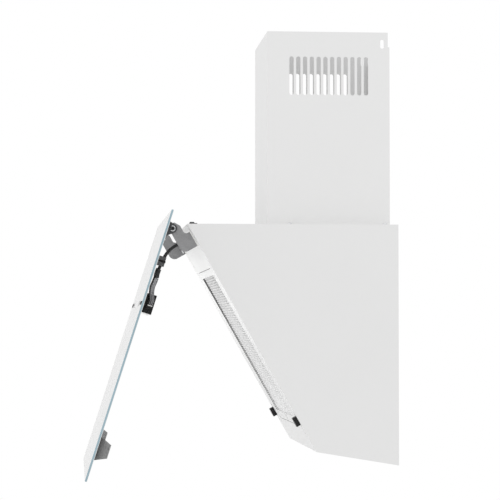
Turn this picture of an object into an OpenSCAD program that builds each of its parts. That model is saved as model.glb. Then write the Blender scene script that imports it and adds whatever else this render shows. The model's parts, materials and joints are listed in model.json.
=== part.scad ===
// Wall-mounted slanted cooker hood with a hinged glass front, shown with the glass swung open.
// +Z is up, the wall is the plane Y = 0, the front faces -Y and X runs across the width.
// The origin lies midway between the two wall-hanging holes, in the back panel's wall face.

/* [Body] */
// Width of the body
body_w = 442; // [400:1:540]
// Depth of the body along its top
body_d = 371; // [330:1:450]
// Depth of the body at the foot of the slanted front
foot_d = 145; // [120:1:180]
// Height of the back, from the top down
back_h = 422; // [380:1:510]
// Height of the slanted front, from the top down
front_h = 398; // [360:1:480]
// Height of the top above the wall holes
top_z = 60; // [50:1:75]
// Thickness of the steel sheet
sheet = 1; // [0.8:0.1:1.5]
// Depth of the folded flanges on the side panels
flange_d = 14; // [10:1:20]

/* [Wall fixing] */
// Distance between the two hanging holes
hang_spacing = 330; // [280:1:380]
// Radius of the hanging holes
hang_r = 4.5; // [3:0.5:6]
// Distance between the two lower steadying holes
steady_spacing = 180; // [120:1:260]
// Height of the steadying holes above the foot of the back
steady_up = 40; // [30:1:80]
// Radius of the steadying holes
steady_r = 2.5; // [2:0.5:4]

/* [Chimney] */
// Width of the chimney cover
chimney_w = 250; // [220:1:300]
// Depth of the chimney cover from the wall
chimney_d = 222; // [215:1:270]
// Height of the chimney cover above the body
chimney_h = 353; // [320:1:430]
// Vent slots on each side
slot_count = 12; // [4:1:12]
// Distance between vent slots on the right side
slot_pitch = 12.3; // [10.5:0.1:12.8]
// Distance between vent slots on the left side
slot_pitch_left = 13.15; // [11:0.05:13.5]
// Width of a vent slot
slot_w = 7.8; // [5:0.1:9]
// Length of a vent slot
slot_h = 69.7; // [40:0.1:90]
// From the chimney's top down to the vent slots
slot_down = 45; // [36:1:80]
// From the wall to the centre of the rearmost right slot
slot_back = 43; // [40:1:60]
// From the wall to the centre of the rearmost left slot
slot_back_left = 48.2; // [44:0.1:60]

/* [Duct] */
// Outside radius of the duct collar
duct_r = 75; // [60:1:88]
// Height of the duct collar above the body
collar_h = 55; // [45:1:70]
// Thickness of the collar's wall
collar_wall = 2; // [1.5:0.5:3]

/* [Glass front] */
// Width of the glass
glass_w = 598; // [560:1:720]
// Height of the glass
glass_h = 484; // [470:1:580]
// Thickness of the glass
glass_t = 4; // [4:0.5:6]
// From the hinge axis up to the glass's top edge
glass_up = 25.3; // [20:0.1:34]
// How far the glass is swung open from closed
open_angle = 47.87; // [0:0.01:90]

/* [Hinges] */
// From the hinge plates to the body's side
hinge_inset = 22; // [16:1:40]
// Hinge axis above the top edge of the front
pivot_up = 5.8; // [4:0.1:9]
// Hinge axis off the front
pivot_off = 25.5; // [24:0.1:30]
// Hinge axis to the back of the glass
pivot_drop = 10.35; // [10:0.05:13]
// Radius of the hinge screw
pivot_r = 3; // [2.5:0.5:4]
// Thickness of the hinge plates
plate_t = 2; // [1.5:0.5:3]
// Thickness of the white spacer under a hinge bracket
spacer_t = 2.4; // [1.5:0.1:4]

/* [Catches] */
// From the catches' centre to the body's side
catch_inset = 15; // [12:1:30]
// From the top edge of the front down to the catches
catch_s = 394.8; // [380:0.1:430]
// Height of a magnetic catch
catch_h = 7.6; // [6:0.1:10]
// How far the strike plates reach behind the glass
strike_reach = 23.2; // [20:0.1:27]

/* [Filter] */
// Width of the grease filter
filter_w = 320; // [280:1:340]
// From the top edge of the front down to the filter
filter_s = 88.3; // [80:0.1:95]
// Length of the grease filter down the front
filter_l = 318.6; // [270:0.1:330]
// Depth of the filter frame
filter_t = 9; // [8:0.5:14]
// Gap round the filter frame
filter_gap = 1; // [0.6:0.1:2]
// How far the mesh lies behind the frame's face
mesh_recess = 2; // [1.5:0.5:6]

/* [Blower] */
// Radius of the impeller
impeller_r = 70; // [50:1:74]
// Half the width of the impeller
impeller_half = 70; // [50:1:74]
// Blades on the impeller
blade_count = 28; // [16:2:36]
// Radius of the motor
motor_r = 44; // [30:1:48]
// Radius of the motor shaft
shaft_r = 4; // [3:0.5:5]

/* [Lights] */
// Radius of the holes for the two lights
led_r = 27; // [20:1:30]
// From the middle to each light
led_x = 130; // [80:1:150]

/* [Controls] */
// Half the length of the control box
control_half = 90; // [60:1:110]
// Height of the control box down the glass
control_l = 36; // [30:1:44]
// From the glass's top edge down to the control box
control_down = 143; // [134:1:160]
// Depth of the control box behind the glass
control_t = 24; // [20:1:30]
// Half the length of the touch sensor strip
strip_half = 270; // [180:1:275]
// Radius of the control cable
cable_r = 3.1; // [2.5:0.05:4]
// From the middle to the control cable
cable_x = 100; // [95:1:120]

/* [Hidden] */
$fn = 64;
eps = 0.5;

white = "#EEEEEE";
side_white = "#E2E2E2";
steel = "#909090";
dark_steel = "#505050";
chrome = "#D8DADC";
black = "#1E1E1E";

// The side outline of the body, as [Y, Z], anticlockwise from its top front corner
tilt = atan((body_d - foot_d) / front_h);
body_outline = [[-body_d, top_z], [-foot_d, top_z - front_h], [0, top_z - back_h], [0, top_z]];
skin_half = body_w / 2 - sheet;

// The hinge axis in [Y, Z], and the angle of the open glass from flat
pivot = [-body_d, top_z] - pivot_up * [sin(tilt), -cos(tilt)] - pivot_off * [cos(tilt), sin(tilt)];
hinge_x = body_w / 2 - hinge_inset;
catch_x = body_w / 2 - catch_inset;
catch_half = 8.5;
// When closed, the glass leans in by this much at its foot, where its strike plates meet the catches
close_gap = 0.25;
close_rise = pivot_off + pivot_drop - strike_reach - catch_h - close_gap;
close_lean = asin(close_rise / (catch_s + catch_half + pivot_up));
glass_turn = 90 + tilt - open_angle + close_lean;
knuckle_r = 8.5;
leaf_r = 8;
washer_t = 0.6;
leaf_x = hinge_x + washer_t;
run_gap = 0.05;

// The chimney, the duct and the blower share the duct's axis
duct_y = -chimney_d / 2;
duct_in = duct_r - collar_wall;
blower_wall = 1.5;
scroll_r0 = impeller_r + 8;
scroll_r1 = impeller_r + 26;
scroll_c = [duct_y - 4, top_z - 165];
blower_half = impeller_half + 10;
inlet_r = impeller_r - 12;

// The filter's frame bars, and the latch in the bottom bar
filter_side = 14;
filter_top = 12.8;
filter_foot = 16.5;
filter_corner = 15;
lip_t = 1;
latch_half = 9;
latch_pocket_half = 14;
latch_pocket = 12;
latch_len = 7;
latch_wall = 1.5;
latch_depth = 4;
latch_tongue = 5.5;

// Screws
small_shank = 1.8;
bracket_screw_x = hinge_x - plate_t - 9;
bracket_foot = [13.7, 42.2];
bracket_screw_s = [bracket_foot[0] + 7, bracket_foot[1] - 7];
chimney_screw_y = [-chimney_d + 41, -9];
chimney_screw_up = 4.3;
rail_t = 1.5;
flange_r = duct_r + 13;
flange_t = 1.5;
collar_step = 0.8;
collar_screw_r = duct_r + 7;
top_shank_r = 2;
top_shank_l = 8;
top_screw_y = -body_d + top_shank_l * tan(tilt) + sheet / cos(tilt) + top_shank_r + 1.3;
grommet_s = 26;
cable_hole_r = cable_r + 1.8;

function unit(v) = v / norm(v);
// A closed outline's corner i, with both its edges moved inwards by d
function inward(a, b) = let (u = unit(b - a)) [-u.y, u.x];
function inset_corner(p, i, d) =
    let (n = len(p), u = inward(p[(i + n - 1) % n], p[i]), v = inward(p[i], p[(i + 1) % n]))
    p[i] + d * (u + v) / (1 + u * v);
function inset(p, d) = [for (i = [0 : len(p) - 1]) inset_corner(p, i, d)];
// Where a line from p touches a circle of radius r at the origin
function touch_point(p, r, way) =
    let (a = atan2(p.y, p.x) + way * acos(r / norm(p))) r * [cos(a), sin(a)];

// Points given on the front (x, down the slant, off it) and on the open glass
// (x, down from its top edge, behind its back), as [X, Y, Z]
function front_point(x, s, n) = [
    x,
    -body_d + s * sin(tilt) - n * cos(tilt),
    top_z - s * cos(tilt) - n * sin(tilt)
];
function glass_point(x, a, b) =
    let (up = glass_up - a, out = pivot_drop - b)
    [
        x,
        pivot[0] + up * cos(glass_turn) - out * sin(glass_turn),
        pivot[1] + up * sin(glass_turn) + out * cos(glass_turn)
    ];

// A smooth curve through the points of a route, with k steps between two points
function between(p, i, t) =
    let (n = len(p) - 1, a = p[max(i - 1, 0)], b = p[i], c = p[min(i + 1, n)], d = p[min(i + 2, n)])
    0.5 * (2 * b + (c - a) * t + (2 * a - 5 * b + 4 * c - d) * t * t
        + (3 * b - a - 3 * c + d) * t * t * t);
function smooth(p, k) = concat(
    [for (i = [0 : len(p) - 2]) for (j = [0 : k - 1]) between(p, i, j / k)],
    [p[len(p) - 1]]
);
function heading(p, i) = unit(p[min(i + 1, len(p) - 1)] - p[max(i - 1, 0)]);
function ring(p, i, r, n) =
    let (d = heading(p, i), u = unit(cross(d, [1, 0.3, 0.2])), v = cross(d, u))
    [for (k = [0 : n - 1]) p[i] + r * (cos(360 * k / n) * u + sin(360 * k / n) * v)];

// Routes of the control cable, of the boot on its end and of the wires that leave it, chosen by hand
clip_down = 81.5;
clip_b = 13.75;
clip_slope = 0.1435;
boot_down = 96;
cable_route = [
    front_point(cable_x + 8, grommet_s, -6),
    front_point(cable_x + 8, grommet_s, 6),
    front_point(cable_x + 7, grommet_s - 1, 17),
    front_point(cable_x + 4, grommet_s - 4, 27),
    glass_point(cable_x, 56, 21.1),
    glass_point(cable_x, 64, 17.3),
    glass_point(cable_x, clip_down - 10, clip_b + 10 * clip_slope),
    glass_point(cable_x, clip_down, clip_b),
    glass_point(cable_x, clip_down + 10, clip_b - 10 * clip_slope),
    glass_point(cable_x, boot_down, 11.9)
];
boot_r = 5.2;
boot_route = [
    glass_point(cable_x, boot_down, 11.9),
    glass_point(cable_x, boot_down + 3, 11.4),
    glass_point(cable_x, boot_down + 10, 11.2),
    glass_point(cable_x, boot_down + 17, 12.2)
];
wire_offsets = [[0, -2.7], [1.2, 0], [0, 2.7], [-1.6, -4.8], [1.7, -4.8]];
wire_r = 1.25;
function wire_route(k) = [for (p = [
    [0, boot_down + 17, 13], [0, 120, 12.6], [-1, 131, 11.7], [-2, 143, 14],
    [-3, 153, 17.2], [-4, 159, 17.4], [-4, connector_down, 17]
]) glass_point(cable_x + p.x + wire_offsets[k].x, p.y, p.z + wire_offsets[k].y)];
connector_down = 163;

// An outline in [Y, Z] swept along X
module across(x0, x1) {
    translate([x0, 0, 0]) rotate([90, 0, 90]) linear_extrude(x1 - x0) children();
}
// The slanted front: X across, Y up the slant from its top edge, Z straight off it
module on_front() {
    translate([0, -body_d, top_z]) rotate([90 + tilt, 0, 0]) children();
}
// The bottom: X across, Y towards the wall from the front's foot, Z into the body
module on_bottom() {
    rise = body_outline[2] - body_outline[1];
    translate([0, -foot_d, top_z - front_h]) rotate([atan2(rise.y, rise.x), 0, 0]) children();
}
// The open glass: origin on the hinge axis, Y up the glass, Z towards its front
module on_glass() {
    translate([0, pivot[0], pivot[1]]) rotate([glass_turn, 0, 0]) children();
}
module both_sides() {
    children();
    mirror([1, 0, 0]) children();
}
// A box from one corner to the opposite one
module block(a, b) {
    translate(a) cube(b - a);
}
// A cylinder along X
module rod_x(x0, x1, r) {
    translate([x0, 0, 0]) rotate([0, 90, 0]) cylinder(h = x1 - x0, r = r);
}
// A tube along a route
module tube(p, r, n) {
    last = len(p) - 1;
    polyhedron(
        points = [for (i = [0 : last]) each ring(p, i, r, n)],
        faces = concat(
            [[for (k = [0 : n - 1]) k]],
            [for (i = [0 : last - 1]) for (k = [0 : n - 1])
                [i * n + k, (i + 1) * n + k, (i + 1) * n + (k + 1) % n, i * n + (k + 1) % n]],
            [[for (k = [n - 1 : -1 : 0]) last * n + k]]
        )
    );
}
// A screw along Z: its head above the origin and its shank below
module screw(head_r, head_h, shank_r, shank_l) {
    difference() {
        union() {
            cylinder(h = head_h * 0.6, r = head_r);
            translate([0, 0, head_h * 0.6]) cylinder(h = head_h * 0.4, r1 = head_r, r2 = head_r * 0.75);
        }
        translate([0, 0, head_h * 0.45]) cylinder(h = head_h, r = head_r * 0.45, $fn = 6);
    }
    translate([0, 0, -shank_l]) cylinder(h = shank_l, r = shank_r);
}

// One mitred side of the body's sheet wrap, from outline corner k to the next
module skin(k) {
    inner = inset(body_outline, sheet);
    next = (k + 1) % 4;
    across(-skin_half, skin_half)
        polygon([body_outline[k], body_outline[next], inner[next], inner[k]]);
}
// A side sheet with a flange folded in behind each of the wrap's four sides
module side_panel() {
    across(skin_half, body_w / 2) polygon(body_outline);
    across(skin_half - flange_d, skin_half) difference() {
        polygon(inset(body_outline, sheet));
        polygon(inset(body_outline, 2 * sheet));
    }
}
module side_panel_right() {
    color(side_white) side_panel();
}
module side_panel_left() {
    color(side_white) mirror([1, 0, 0]) side_panel();
}
module top_panel() {
    color(white) difference() {
        skin(3);
        translate([0, duct_y, top_z - 2 * sheet]) cylinder(h = 4 * sheet, r = duct_in);
        collar_screw_places() cylinder(h = 4 * sheet, r = small_shank, center = true);
        gland_place() cylinder(h = 4 * sheet, r = gland_r, center = true);
        both_sides() translate([hinge_x, top_screw_y, top_z])
            cylinder(h = 4 * sheet, r = top_shank_r, center = true);
    }
}
module back_panel() {
    hang = hang_spacing / 2;
    steady = steady_spacing / 2;
    color(white) difference() {
        skin(2);
        for (x = [-hang, hang])
            translate([x, 0, 0]) rotate([90, 0, 0]) cylinder(h = 4 * sheet, r = hang_r, center = true);
        for (x = [-steady, steady])
            translate([x, 0, top_z - back_h + steady_up]) rotate([90, 0, 0])
                cylinder(h = 4 * sheet, r = steady_r, center = true);
    }
}
module led_places() {
    rise = norm(body_outline[2] - body_outline[1]);
    for (x = [-led_x, led_x]) on_bottom() translate([x, rise / 2, 0]) children();
}
module bottom_panel() {
    color(white) difference() {
        skin(1);
        led_places() cylinder(h = 4 * sheet, r = led_r, center = true);
    }
}
// The filter's outline, square at its top and rounded at its foot, grown by g
module filter_outline(g) {
    half = filter_w / 2 + g;
    r = filter_corner + g;
    foot = -filter_s - filter_l - g;
    translate([-half, foot + r]) square([2 * half, filter_l + 2 * g - r]);
    translate([-half + r, foot]) square([2 * (half - r), 2 * r]);
    for (side = [-1, 1]) translate([side * (half - r), foot + r]) circle(r);
}
module latch_tongue_space(g) {
    foot = -filter_s - filter_l;
    block([-4 - g, foot - latch_tongue, -latch_depth + 0.5 - g],
        [4 + g, foot + latch_wall + eps, -latch_depth + 2.5 + g]);
}
// The front sheet, its filter opening with a folded seat, and the holes through it
module front_panel() {
    color(white) difference() {
        union() {
            difference() {
                skin(0);
                on_front() translate([0, 0, -2 * sheet]) linear_extrude(4 * sheet)
                    filter_outline(filter_gap);
            }
            on_front() translate([0, 0, -filter_t - lip_t]) {
                linear_extrude(filter_t + lip_t - sheet / 2) difference() {
                    filter_outline(filter_gap + lip_t);
                    filter_outline(filter_gap);
                }
                linear_extrude(lip_t) difference() {
                    filter_outline(filter_gap + lip_t);
                    filter_outline(-5);
                }
            }
        }
        on_front() {
            latch_tongue_space(0.6);
            bracket_screw_places() cylinder(h = 6 * sheet, r = small_shank, center = true);
            translate([cable_x + 8, -grommet_s, 0])
                cylinder(h = 4 * sheet, r = cable_hole_r, center = true);
        }
    }
}

// A vent slot in [Y, Z], centred on y and hanging down from z
module slot_shape(y, z, w, h) {
    r = w / 2;
    translate([y - r, z - h + r]) square([w, h - w]);
    translate([y, z - r]) circle(r, $fn = 32);
    translate([y, z - h + r]) circle(r, $fn = 32);
}
module vent_slots(x0, x1, back, pitch) {
    across(x0, x1) for (k = [0 : slot_count - 1])
        slot_shape(-back - k * pitch, top_z + chimney_h - slot_down, slot_w, slot_h);
}
// A sheet bent round three sides, with narrow returns against the wall
module chimney_cover() {
    half = chimney_w / 2;
    top = top_z + chimney_h;
    color("#E5E5E5") difference() {
        union() {
            difference() {
                block([-half, -chimney_d, top_z], [half, 0, top]);
                block([-half + sheet, -chimney_d + sheet, top_z - eps], [half - sheet, eps, top + eps]);
            }
            for (side = [-1, 1]) translate([side * (half - 6), -sheet / 2, top_z + chimney_h / 2])
                cube([12, sheet, chimney_h], center = true);
        }
        vent_slots(half - 2 * sheet, half + sheet, slot_back, slot_pitch);
        vent_slots(-half - sheet, -half + 2 * sheet, slot_back_left, slot_pitch_left);
        across(-half - sheet, half + sheet) slot_shape(-13.6, top - 13, 6.3, 16.3);
        block([-half - sheet, -3, top - 26.6], [half + sheet, eps, top + eps]);
        chimney_screw_places() cylinder(h = 8, r = small_shank, center = true);
    }
}
module chimney_screw_places() {
    both_sides() for (y = chimney_screw_y)
        translate([chimney_w / 2, y, top_z + chimney_screw_up]) rotate([0, 90, 0]) children();
}
// Two angles on the top panel that the chimney's sides are screwed to
module chimney_rails() {
    out = chimney_w / 2 - sheet;
    color(steel) difference() {
        both_sides() {
            block([out - rail_t, -chimney_d + 20, top_z], [out, -2, top_z + 10]);
            block([out - 14, -chimney_d + 20, top_z], [out - rail_t, -2, top_z + rail_t]);
        }
        chimney_screw_places() cylinder(h = 8, r = small_shank, center = true);
    }
}
module chimney_screws() {
    color(chrome) chimney_screw_places() screw(3.5, 1.8, small_shank, 7);
}

module collar_screw_places() {
    for (a = [45 : 90 : 315]) translate([0, duct_y, top_z]) rotate(a) translate([collar_screw_r, 0, 0])
        children();
}
damper_z = top_z + 25;
damper_gap = 3;
damper_pin_r = 1.5;
damper_plate = 1.2;
damper_pin_half = duct_r - 0.5;
module damper_pin_places() {
    for (side = [-1, 1]) translate([0, duct_y + side * damper_gap, damper_z]) children();
}
// The round collar that a duct slips over, with a ledge inside that the flaps close on
module duct_collar() {
    ledge = 3;
    color("#D9D9D6") difference() {
        translate([0, duct_y, top_z]) difference() {
            union() {
                cylinder(h = collar_h, r = duct_r - collar_step, $fn = 96);
                translate([0, 0, flange_t]) cylinder(h = collar_h - flange_t, r = duct_r, $fn = 96);
            }
            translate([0, 0, -eps]) cylinder(h = damper_z - top_z - 3.6 + eps, r = duct_in, $fn = 96);
            translate([0, 0, -eps]) cylinder(h = collar_h, r = duct_in - ledge, $fn = 96);
            translate([0, 0, damper_z - top_z - damper_plate / 2 - 0.1])
                cylinder(h = collar_h, r = duct_in, $fn = 96);
        }
        damper_pin_places() rod_x(-duct_r - 1, duct_r + 1, damper_pin_r);
    }
}
// The ring that holds the collar on the top panel, by the step at its foot
module collar_flange() {
    color("#D9D9D6") difference() {
        translate([0, duct_y, top_z]) difference() {
            cylinder(h = flange_t, r = flange_r, $fn = 96);
            translate([0, 0, -eps])
                cylinder(h = flange_t + 2 * eps, r = duct_r - collar_step + run_gap, $fn = 96);
        }
        collar_screw_places() cylinder(h = 8, r = small_shank, center = true);
    }
}
module collar_screws() {
    color(chrome) collar_screw_places() translate([0, 0, flange_t]) screw(3.6, 2, small_shank, 6);
}
module damper_pins() {
    color(chrome) damper_pin_places() rod_x(-damper_pin_half, damper_pin_half, damper_pin_r);
}
// A half disc that turns on the pin at duct_y + side * damper_gap
module damper_flap(side) {
    knuckle = 2.6;
    knuckle_half = duct_in - 12;
    flap_r = duct_in - 0.8;
    axis_y = duct_y + side * damper_gap;
    difference() {
        union() {
            translate([0, duct_y, damper_z - damper_plate / 2]) intersection() {
                cylinder(h = damper_plate, r = flap_r, $fn = 96);
                translate([-duct_r, side > 0 ? damper_gap : -duct_r - damper_gap, -eps])
                    cube([2 * duct_r, duct_r, 5]);
            }
            translate([0, axis_y, damper_z]) rod_x(-knuckle_half, knuckle_half, knuckle);
        }
        translate([0, axis_y, damper_z]) {
            rod_x(-knuckle_half - 1, knuckle_half + 1, damper_pin_r + run_gap);
            for (end = [-1, 1]) translate([end * (knuckle_half + 10.5), 0, 0])
                cube([20, 2 * knuckle, 2 * knuckle], center = true);
        }
    }
}
module damper_flap_front() {
    color("#C9C9C6") damper_flap(-1);
}
module damper_flap_rear() {
    color("#C9C9C6") damper_flap(1);
}

// The scroll in [Y, Z], grown by g, with its outlet up to the top panel
function scroll_radius(a) = scroll_r1 - (scroll_r1 - scroll_r0) * (a - 180) / 240;
module scroll_outline(g) {
    lift = g < 0 ? 1 : 0;
    outlet_z = top_z - sheet + lift;
    spiral = [for (a = [180 : 12 : 420]) scroll_c + (scroll_radius(a) + g) * [cos(a), sin(a)]];
    polygon(concat(spiral, [[duct_y + duct_r + g, outlet_z], [duct_y - duct_r - g, outlet_z]]));
}
module at_blower() {
    translate([0, scroll_c[0], scroll_c[1]]) children();
}
module blower_housing() {
    color("#B9BCBE") difference() {
        across(-blower_half, blower_half) scroll_outline(0);
        across(-blower_half + blower_wall, blower_half - blower_wall) scroll_outline(-blower_wall);
        at_blower() rod_x(-blower_half - 1, blower_half + 1, inlet_r);
        motor_screw_places() cylinder(h = 6, r = small_shank, center = true);
    }
}
module inlet_ring() {
    color("#8F9396") at_blower() rotate([0, -90, 0]) translate([0, 0, blower_half])
        difference() {
            cylinder(h = 3, r = inlet_r + 8);
            translate([0, 0, -eps]) cylinder(h = 4, r = inlet_r);
        }
}
module motor() {
    color("#6E7275") at_blower() difference() {
        union() {
            rod_x(8, blower_half, motor_r);
            rod_x(3.5, 8, shaft_r + 8);
        }
        rod_x(3, blower_half - 10, shaft_r + run_gap);
    }
}
bracket_reach = inlet_r + 12;
module motor_screw_places() {
    for (a = [90 : 120 : 330]) at_blower() rotate([a, 0, 0]) translate([blower_half, inlet_r + 5, 0])
        rotate([0, 90, 0]) children();
}
// A ring with three arms that holds the motor in the blower's right inlet
module motor_bracket() {
    color(steel) difference() {
        at_blower() union() {
            rod_x(blower_half, blower_half + 2, motor_r + 3);
            for (a = [90 : 120 : 330]) rotate([a, 0, 0])
                block([blower_half, 0, -8], [blower_half + 2, bracket_reach, 8]);
        }
        at_blower() rod_x(blower_half - 1, blower_half + 3, motor_r - 16);
        motor_screw_places() cylinder(h = 6, r = small_shank, center = true);
    }
}
module motor_screws() {
    color(chrome) motor_screw_places() translate([0, 0, 2]) screw(3.5, 2, small_shank, 5.5);
}
module motor_shaft() {
    color(chrome) at_blower() rod_x(-16, blower_half - 10.5, shaft_r);
}
// A drum of forward-curved blades with a disc and a hub in the middle
module impeller() {
    blade_t = 1.2;
    ring_in = impeller_r - 11;
    color("#2C2E30") at_blower() difference() {
        union() {
            rod_x(-1.5, 1.5, impeller_r);
            rod_x(-14, 1.5, shaft_r + 9);
            for (x = [-impeller_half, impeller_half - 3]) difference() {
                rod_x(x, x + 3, impeller_r);
                rod_x(x - 1, x + 4, ring_in);
            }
            for (k = [0 : blade_count - 1]) rotate([k * 360 / blade_count, 0, 0])
                translate([0, impeller_r - 5.6, 0]) rotate([28, 0, 0])
                    cube([2 * impeller_half - 2, 10, blade_t], center = true);
        }
        rod_x(-20, 3, shaft_r);
    }
}

// Boxes that hang inside under the top panel
electronics_x = blower_half + 22;
module electronics_shell(z0, z1) {
    block([electronics_x, duct_y - 60, z0], [electronics_x + 86, duct_y + 50, z1]);
}
module electronics_box() {
    top = top_z - sheet;
    color("#D5D5D2") difference() {
        electronics_shell(top - 38, top);
        block([electronics_x + 2, duct_y - 58, top - 39], [electronics_x + 84, duct_y + 48, top - 2]);
    }
}
module electronics_lid() {
    top = top_z - sheet;
    color("#C4C4C1") electronics_shell(top - 40, top - 38);
}
module capacitor() {
    color("#E8E8E8") translate([-blower_half - 60, duct_y - 40, top_z - sheet - 58]) {
        cylinder(h = 58, r = 16);
        translate([0, 0, -6]) cylinder(h = 6, r = 5);
    }
}
module led_driver() {
    color(black) block([-blower_half - 110, duct_y + 20, top_z - sheet - 24],
        [-blower_half - 30, duct_y + 62, top_z - sheet]);
}
gland_r = 8;
module gland_place() {
    translate([duct_r + 20, -40, top_z]) children();
}
// The inlet for the mains lead, inside the chimney's footprint
module mains_gland() {
    color(black) gland_place() difference() {
        union() {
            translate([0, 0, -10]) cylinder(h = 22, r = gland_r);
            cylinder(h = 4, r = gland_r + 3, $fn = 6);
            translate([0, 0, 12]) cylinder(h = 6, r1 = gland_r, r2 = gland_r - 2.5);
        }
        translate([0, 0, -11]) cylinder(h = 40, r = 4);
    }
}

led_wall = 1.5;
module led_bezels() {
    color(chrome) led_places() difference() {
        union() {
            translate([0, 0, -1.5]) cylinder(h = 1.5, r = led_r + 4);
            cylinder(h = 12, r = led_r);
        }
        translate([0, 0, -2]) cylinder(h = 15, r = led_r - led_wall);
    }
}
module led_lenses() {
    color("#F6F6F0") led_places() translate([0, 0, -0.8]) cylinder(h = 5, r = led_r - led_wall);
}

module on_filter_foot() {
    translate([0, -filter_s - filter_l, 0]) children();
}
// The frame round the mesh, with a pocket for the latch in its bottom bar
module filter_frame() {
    half = filter_w / 2 - filter_side;
    color(white) on_front() difference() {
        translate([0, 0, -filter_t]) linear_extrude(filter_t) filter_outline(0);
        block([-half, -filter_s - filter_l + filter_foot, -filter_t - 1],
            [half, -filter_s - filter_top, 1]);
        on_filter_foot() block([-latch_pocket_half, latch_wall, -latch_depth],
            [latch_pocket_half, latch_wall + latch_pocket, 1]);
        latch_tongue_space(0.3);
    }
}
module filter_mesh() {
    half = filter_w / 2 - filter_side;
    color("#CFCFCF") on_front() block([-half, -filter_s - filter_l + filter_foot, -filter_t],
        [half, -filter_s - filter_top, -mesh_recess]);
}
// A slider that draws its tongue up out of the front's seat
module filter_latch() {
    low = latch_wall + 0.2;
    color(white) on_front() on_filter_foot() union() {
        block([-latch_half, low, -latch_depth + 0.1], [latch_half, low + latch_len, -0.4]);
        block([-4, -3.5, -latch_depth + 0.6], [4, low + 1, -latch_depth + 2.4]);
    }
}
module latch_springs() {
    low = latch_wall + 0.2 + latch_len;
    color(chrome) on_front() on_filter_foot() for (x = [-5, 5])
        translate([x, low, -latch_depth / 2 - 0.2]) rotate([-90, 0, 0])
            cylinder(h = latch_wall + latch_pocket - low, r = 1.2, $fn = 24);
}

// The bracket's outline in [up the slant, off it]
module bracket_outline() {
    corner = 12;
    top_n = pivot_off + 6;
    foot0 = bracket_foot[0];
    foot1 = bracket_foot[1];
    polygon([
        [-foot0, spacer_t], [-foot1, spacer_t], [-foot1, top_n - corner], [-foot1 + corner, top_n],
        [pivot_up, top_n], [pivot_up + knuckle_r, pivot_off], [pivot_up + 7.8, pivot_off - 8],
        [pivot_up - 2, pivot_off - 14], [-foot0 + 3.2, pivot_off - 14], [-foot0, pivot_off - 17.5]
    ]);
    translate([-foot1 + corner, top_n - corner]) circle(corner);
    translate([pivot_up, pivot_off]) circle(knuckle_r);
}
module bracket_screw_places() {
    both_sides() for (s = bracket_screw_s) translate([bracket_screw_x, -s, 0]) children();
}
module bracket_flange_shape(z0, z1) {
    block([hinge_x - plate_t - 17, -bracket_foot[1], z0], [hinge_x, -bracket_foot[0], z1]);
}
module hinge_spacers() {
    color("#F4F4F4") on_front() difference() {
        both_sides() bracket_flange_shape(0, spacer_t);
        bracket_screw_places() cylinder(h = 20, r = small_shank, center = true);
    }
}
module hinge_bracket() {
    on_front() difference() {
        union() {
            across(hinge_x - plate_t, hinge_x) bracket_outline();
            bracket_flange_shape(spacer_t, spacer_t + plate_t);
        }
        translate([0, pivot_up, pivot_off]) rod_x(hinge_x - 5, hinge_x + 5, pivot_r);
        bracket_screw_places() cylinder(h = 20, r = small_shank, center = true);
    }
}
module hinge_bracket_right() {
    color(steel) hinge_bracket();
}
module hinge_bracket_left() {
    color(steel) mirror([1, 0, 0]) hinge_bracket();
}
module bracket_screws() {
    color(chrome) on_front() bracket_screw_places() translate([0, 0, spacer_t + plate_t])
        screw(4.2, 2.6, small_shank, spacer_t + plate_t + 6);
}
module hinge_screws() {
    color(chrome) both_sides() translate([leaf_x + plate_t + 0.2, pivot[0], pivot[1]]) rotate([0, 90, 0])
        screw(5, 2.6, pivot_r, plate_t * 2 + washer_t + 4.7);
}
module hinge_nuts() {
    color(chrome) both_sides() translate([0, pivot[0], pivot[1]]) difference() {
        translate([hinge_x - plate_t - 4, 0, 0]) rotate([0, 90, 0]) cylinder(h = 4, r = 5.5, $fn = 6);
        rod_x(hinge_x - 10, hinge_x, pivot_r);
    }
}
module hinge_washers() {
    color("#F0F0EC") both_sides() translate([0, pivot[0], pivot[1]]) difference() {
        rod_x(hinge_x, leaf_x - 0.1, 6.5);
        rod_x(hinge_x - 1, leaf_x + 1, pivot_r);
    }
}
module top_screws() {
    head_r = 4.7;
    tab = 4.4;
    color(dark_steel) both_sides() translate([hinge_x, top_screw_y, top_z]) {
        screw(head_r, 4.2, top_shank_r, top_shank_l);
        block([-2.5, head_r - 1, 0], [2.5, head_r + tab, 2.2]);
    }
}
// A sprung magnet in a black housing that the strike plate meets when the glass closes
module magnetic_catch() {
    on_front() difference() {
        block([catch_x - 8, -catch_s - catch_half, 0], [catch_x + 8, -catch_s + catch_half, catch_h]);
        block([catch_x - 9, -catch_s + 3.6, catch_h - 0.8], [catch_x + 9, -catch_s + 5, catch_h + 1]);
    }
}
module magnetic_catch_right() {
    color(black) magnetic_catch();
}
module magnetic_catch_left() {
    color(black) mirror([1, 0, 0]) magnetic_catch();
}
module cable_grommet() {
    color(black) on_front() translate([cable_x + 8, -grommet_s, 0]) difference() {
        union() {
            cylinder(h = 2, r = cable_hole_r + 2.5);
            translate([0, 0, -3]) cylinder(h = 3, r = cable_hole_r);
        }
        translate([0, 0, -4]) cylinder(h = 8, r = cable_r + 0.6);
    }
}

module glass_panel() {
    r = 4;
    middle = glass_up - glass_h / 2;
    color("#EBEBEB") on_glass() translate([0, middle, pivot_drop]) linear_extrude(glass_t) {
        square([glass_w - 2 * r, glass_h], center = true);
        square([glass_w, glass_h - 2 * r], center = true);
        for (x = [-1, 1]) for (y = [-1, 1])
            translate([x * (glass_w / 2 - r), y * (glass_h / 2 - r)]) circle(r);
    }
}
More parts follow.
